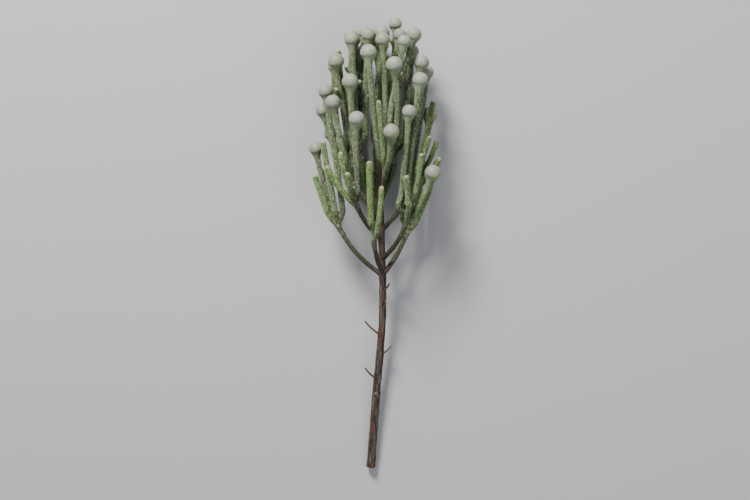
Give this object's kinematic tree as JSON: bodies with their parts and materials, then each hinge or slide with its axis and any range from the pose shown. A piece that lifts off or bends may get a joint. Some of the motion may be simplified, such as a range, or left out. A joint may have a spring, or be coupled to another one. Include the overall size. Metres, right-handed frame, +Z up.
{
  "type": "brunia sprig",
  "caption": "Cut brunia sprig lying down: a dark woody stem forking into scale-leaved green shoots tipped with round grey flower heads.",
  "frame": {"origin": "on the surface that the sprig lies on, under the middle of its outline", "axes": "+Y along the stem from the cut end to the flower heads, +Z up from the surface"},
  "size_m": [0.1203, 0.4291, 0.0884],
  "materials": {
    "bark": "matte",
    "foliage": "matte",
    "flower_velvet": "matte"
  },
  "bodies": {
    "root": {"flower_head_01": "flower_velvet", "flower_head_02": "flower_velvet", "flower_head_03": "flower_velvet", "flower_head_04": "flower_velvet", "flower_head_05": "flower_velvet", "flower_head_06": "flower_velvet", "flower_head_07": "flower_velvet", "flower_head_08": "flower_velvet", "flower_head_09": "flower_velvet", "flower_head_10": "flower_velvet", "flower_head_11": "flower_velvet", "flower_head_12": "flower_velvet", "flower_head_13": "flower_velvet", "flower_head_14": "flower_velvet", "flower_head_15": "flower_velvet", "flower_head_16": "flower_velvet", "flower_head_17": "flower_velvet", "flower_head_18": "flower_velvet", "flower_head_19": "flower_velvet", "flower_head_20": "flower_velvet", "flower_head_21": "flower_velvet", "flower_head_22": "flower_velvet", "flower_head_23": "flower_velvet", "flower_head_24": "flower_velvet", "flower_head_25": "flower_velvet", "flower_head_26": "flower_velvet", "flower_head_27": "flower_velvet", "flower_head_28": "flower_velvet", "flower_head_29": "flower_velvet", "flower_head_30": "flower_velvet", "flower_head_31": "flower_velvet", "flower_head_32": "flower_velvet", "flower_head_33": "flower_velvet", "flower_head_34": "flower_velvet", "flower_head_35": "flower_velvet", "flower_head_36": "flower_velvet", "flower_head_37": "flower_velvet", "leafy_spray_01": "foliage", "leafy_spray_02": "foliage", "leafy_spray_03": "foliage", "leafy_spray_04": "foliage", "leafy_spray_05": "foliage", "leafy_spray_06": "foliage", "leafy_spray_07": "foliage", "leafy_spray_08": "foliage", "leafy_spray_09": "foliage", "leafy_spray_10": "foliage", "leafy_spray_11": "foliage", "leafy_spray_12": "foliage", "woody_stem": "bark"}
  },
  "joints": []
}
